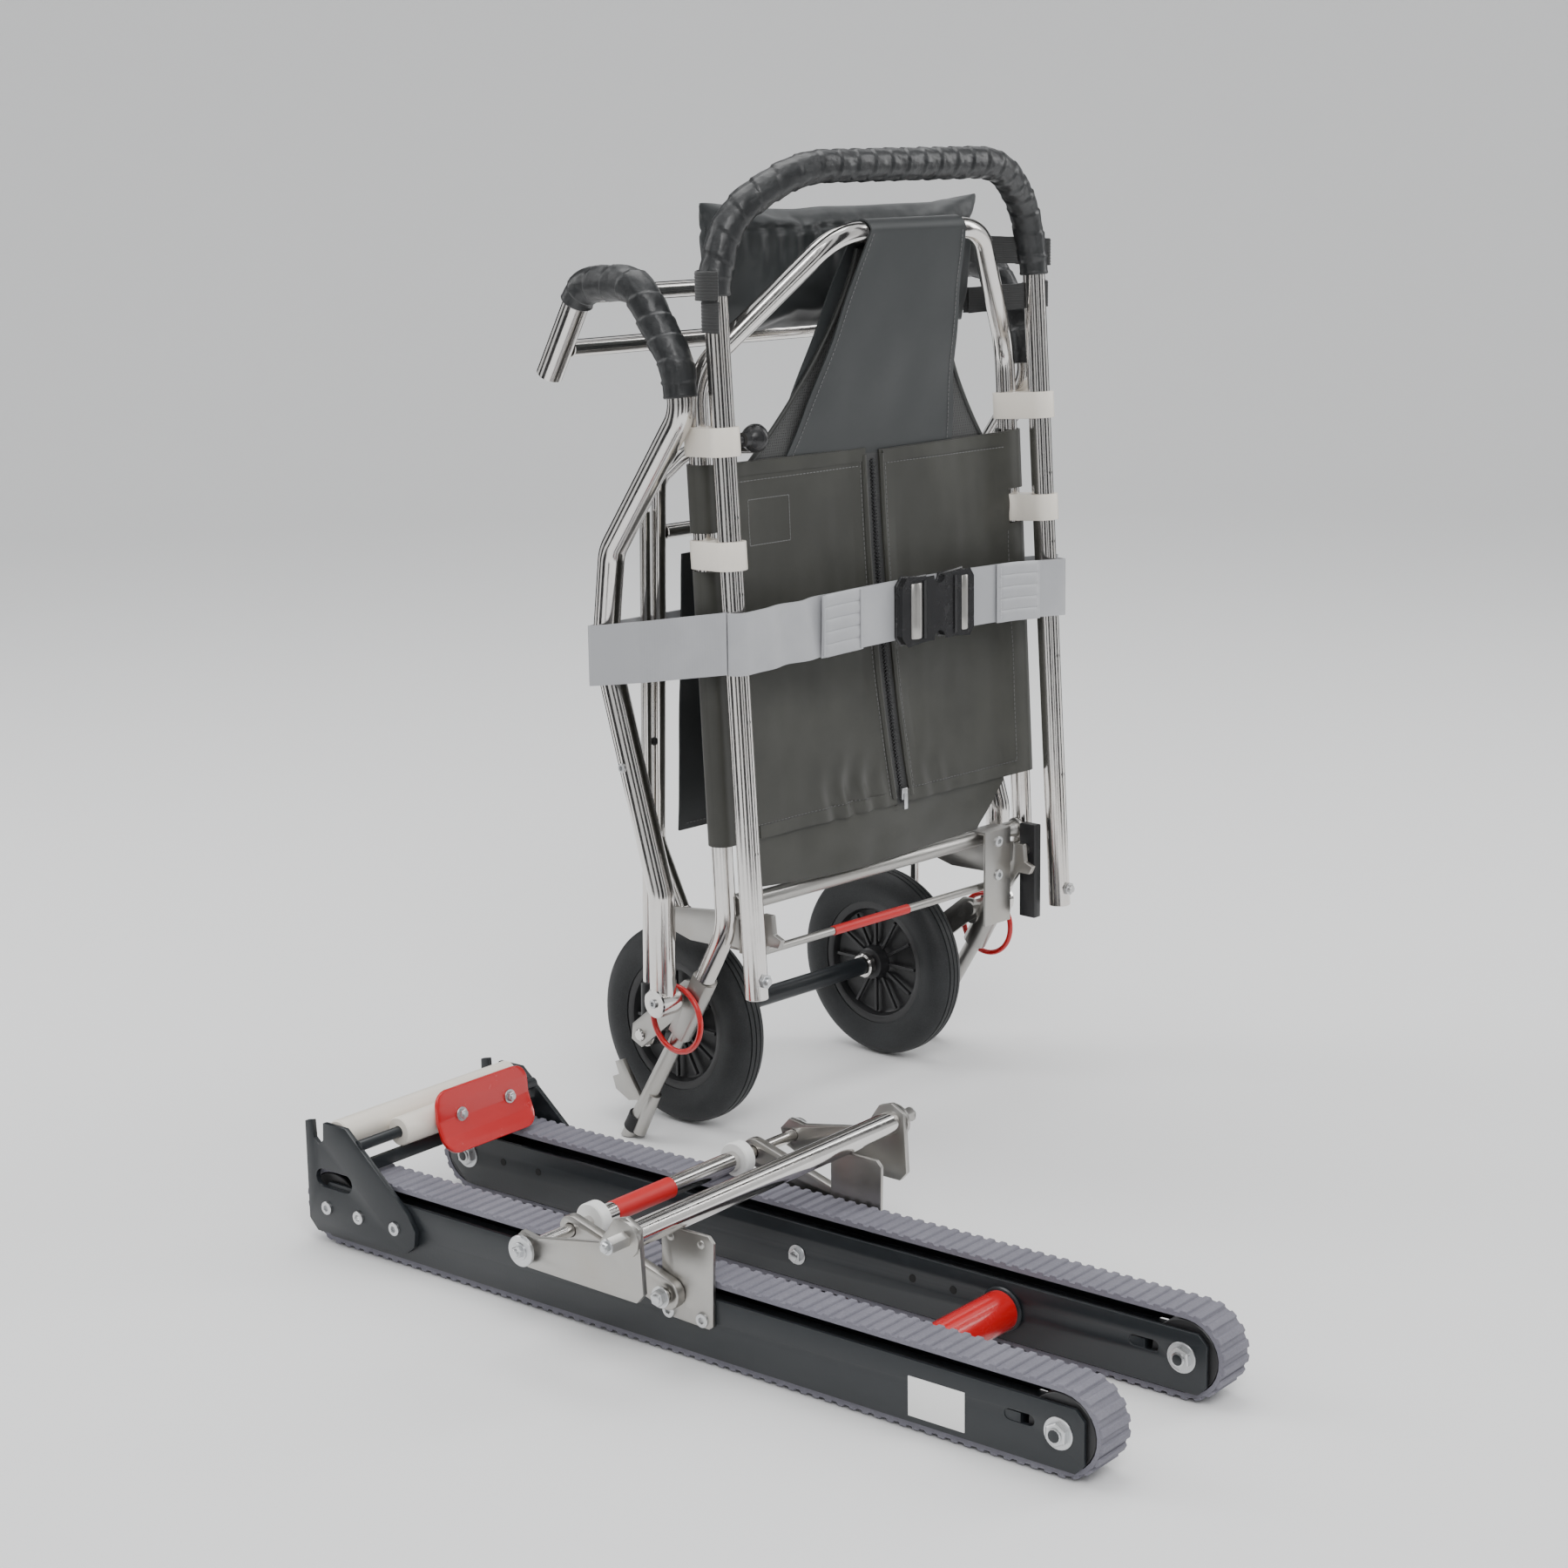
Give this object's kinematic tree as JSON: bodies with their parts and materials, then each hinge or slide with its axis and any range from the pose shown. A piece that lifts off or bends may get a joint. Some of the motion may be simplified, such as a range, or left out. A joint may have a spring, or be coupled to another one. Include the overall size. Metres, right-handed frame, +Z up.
{
  "type": "stair chair",
  "caption": "Folded evacuation stair chair on two wheels with a telescopic handle, and its detached twin-belt track unit lying beside it.",
  "frame": {"origin": "centre of the bounding box's bottom face, on the floor between the chair and the track unit", "axes": "+X across the chair towards its right side as seen from behind, +Y from the back cloth towards the front frame, +Z up from the floor"},
  "size_m": [0.9124, 0.9118, 0.9412],
  "materials": {
    "chromed_steel": "polished",
    "satin_steel": "satin",
    "black_coat": "satin powder coat",
    "red_coat": "gloss",
    "tyre_rubber": "matte",
    "belt_rubber": "matte",
    "black_plastic": "matte",
    "ivory_plastic": "satin",
    "grip_wrap": "satin",
    "dark_vinyl": "satin coated cloth",
    "strap_vinyl": "satin coated webbing"
  },
  "bodies": {
    "chair_frame": {"back_tube": "chromed_steel", "crossbar": "chromed_steel", "axle": "chromed_steel", "foot_left": "satin_steel", "foot_right": "satin_steel", "seat_gusset_left": "satin_steel", "seat_gusset_right": "satin_steel", "collar_lower_left": "ivory_plastic", "collar_upper_left": "ivory_plastic", "collar_lower_right": "ivory_plastic", "collar_upper_right": "ivory_plastic", "latch_block": "black_plastic", "back_panel": "dark_vinyl", "head_flap": "dark_vinyl", "strap_back": "strap_vinyl", "buckle": "black_plastic"},
    "wheel_left": {"tyre_left": "tyre_rubber", "rim_left": "black_plastic"},
    "wheel_right": {"tyre_right": "tyre_rubber", "rim_right": "black_plastic"},
    "plunger": {"plunger": "black_plastic"},
    "push_bar": {"push_bar": "chromed_steel"},
    "handle": {"handle_tube": "chromed_steel", "handle_grip": "grip_wrap", "head_pad": "dark_vinyl"},
    "front_frame": {"front_tube_left": "chromed_steel", "front_tube_right": "chromed_steel", "front_grip_left": "grip_wrap", "front_grip_right": "grip_wrap", "footrest_upper": "chromed_steel", "footrest_lower": "chromed_steel", "strap_front": "strap_vinyl"},
    "seat": {"seat_frame": "chromed_steel", "seat_crossbar": "chromed_steel", "seat_sling": "dark_vinyl"},
    "strut_left": {"strut_left": "chromed_steel"},
    "strut_right": {"strut_right": "chromed_steel"},
    "ring_left": {"pull_ring_left": "red_coat"},
    "ring_right": {"pull_ring_right": "red_coat"},
    "track_unit": {"beam_left": "black_coat", "beam_right": "black_coat", "belt_left": "belt_rubber", "belt_right": "belt_rubber", "cross_tube": "red_coat", "rear_bracket": "black_coat", "guide_plate_left": "satin_steel", "guide_plate_right": "satin_steel"},
    "pulley_front_left": {"pulley_front_left": "black_plastic"},
    "pulley_front_right": {"pulley_front_right": "black_plastic"},
    "pulley_rear_left": {"pulley_rear_left": "black_plastic"},
    "pulley_rear_right": {"pulley_rear_right": "black_plastic"},
    "roller": {"roller": "ivory_plastic"},
    "lever": {"lever_boss": "ivory_plastic", "lever_plate": "red_coat"},
    "links": {"link_arm_left": "satin_steel", "link_arm_right": "satin_steel", "lock_rod": "chromed_steel"},
    "cranks": {"crank_left": "satin_steel", "crank_right": "satin_steel", "carriage_tube": "chromed_steel"}
  },
  "joints": [
    {"name": "wheel_left_spin", "type": "hinge", "parent": "chair_frame", "child": "wheel_left", "pos_m": [0.0462, 0.3559, 0.1], "axis": [1, 0, 0], "continuous": true},
    {"name": "wheel_right_spin", "type": "hinge", "parent": "chair_frame", "child": "wheel_right", "pos_m": [0.3402, 0.3559, 0.1], "axis": [1, 0, 0], "continuous": true},
    {"name": "handle_slide", "type": "slide", "parent": "chair_frame", "child": "handle", "axis": [0, 0.0589, 0.9983], "range_m": [0, 0.24]},
    {"name": "plunger_pull", "type": "slide", "parent": "chair_frame", "child": "plunger", "axis": [1, 0, 0], "range_m": [0, 0.008], "stiffness_N_per_m": 400},
    {"name": "push_bar_turn", "type": "hinge", "parent": "chair_frame", "child": "push_bar", "pos_m": [0.1932, 0.1999, 0.236], "axis": [1, 0, 0], "range_deg": [0, 12], "stiffness_Nm_per_rad": 4},
    {"name": "front_frame_fold", "type": "hinge", "parent": "chair_frame", "child": "front_frame", "pos_m": [0.1932, 0.2809, 0.158], "axis": [-1, 0, 0], "range_deg": [0, 75]},
    {"name": "seat_fold", "type": "hinge", "parent": "chair_frame", "child": "seat", "pos_m": [0.1932, 0.3199, 0.222], "axis": [-1, 0, 0], "range_deg": [0, 75]},
    {"name": "strut_left_swing", "type": "hinge", "parent": "chair_frame", "child": "strut_left", "pos_m": [-0.0028, 0.3559, 0.1], "axis": [-1, 0, 0], "range_deg": [0, 45]},
    {"name": "strut_right_swing", "type": "hinge", "parent": "chair_frame", "child": "strut_right", "pos_m": [0.3892, 0.3559, 0.1], "axis": [-1, 0, 0], "range_deg": [0, 45]},
    {"name": "ring_left_swing", "type": "hinge", "parent": "chair_frame", "child": "ring_left", "pos_m": [-0.0361, 0.2809, 0.158], "axis": [1, 0, 0], "range_deg": [-45, 45]},
    {"name": "ring_right_swing", "type": "hinge", "parent": "chair_frame", "child": "ring_right", "pos_m": [0.4225, 0.2809, 0.158], "axis": [1, 0, 0], "range_deg": [-45, 45]},
    {"name": "track_lift", "type": "slide", "parent": "chair_frame", "child": "track_unit", "axis": [0, 0, 1], "range_m": [0, 0.3]},
    {"name": "pulley_front_left_spin", "type": "hinge", "parent": "track_unit", "child": "pulley_front_left", "pos_m": [-0.31626, -0.41855, 0.036], "axis": [0.9966, 0.0821, 0], "continuous": true},
    {"name": "pulley_rear_left_spin", "type": "hinge", "parent": "track_unit", "child": "pulley_rear_left", "pos_m": [-0.37932, 0.34685, 0.036], "axis": [0.9966, 0.0821, 0], "continuous": true},
    {"name": "pulley_front_right_spin", "type": "hinge", "parent": "track_unit", "child": "pulley_front_right", "pos_m": [-0.14783, -0.40468, 0.036], "axis": [0.9966, 0.0821, 0], "continuous": true},
    {"name": "pulley_rear_right_spin", "type": "hinge", "parent": "track_unit", "child": "pulley_rear_right", "pos_m": [-0.21089, 0.36073, 0.036], "axis": [0.9966, 0.0821, 0], "continuous": true},
    {"name": "roller_spin", "type": "hinge", "parent": "track_unit", "child": "roller", "pos_m": [-0.29412, 0.34183, 0.1045], "axis": [0.9966, 0.0821, 0], "continuous": true},
    {"name": "lever_lift", "type": "hinge", "parent": "track_unit", "child": "lever", "pos_m": [-0.29174, 0.31293, 0.101], "axis": [-0.9966, -0.0821, 0], "range_deg": [0, 20], "stiffness_Nm_per_rad": 1},
    {"name": "link_swing", "type": "hinge", "parent": "track_unit", "child": "links", "pos_m": [-0.26194, -0.04884, 0.057], "axis": [0.9966, 0.0821, 0], "range_deg": [0, 45]},
    {"name": "crank_swing", "type": "hinge", "parent": "links", "child": "cranks", "pos_m": [-0.27031, 0.05281, 0.088], "axis": [-0.9966, -0.0821, 0], "range_deg": [0, 45]}
  ],
  "couplings": [
    {"joint": "seat_fold", "follows": "front_frame_fold", "ratio": 1},
    {"joint": "strut_left_swing", "follows": "front_frame_fold", "ratio": 0.6},
    {"joint": "strut_right_swing", "follows": "front_frame_fold", "ratio": 0.6},
    {"joint": "crank_swing", "follows": "link_swing", "ratio": 1},
    {"joint": "pulley_rear_left_spin", "follows": "pulley_front_left_spin", "ratio": 1},
    {"joint": "pulley_rear_right_spin", "follows": "pulley_front_right_spin", "ratio": 1}
  ]
}
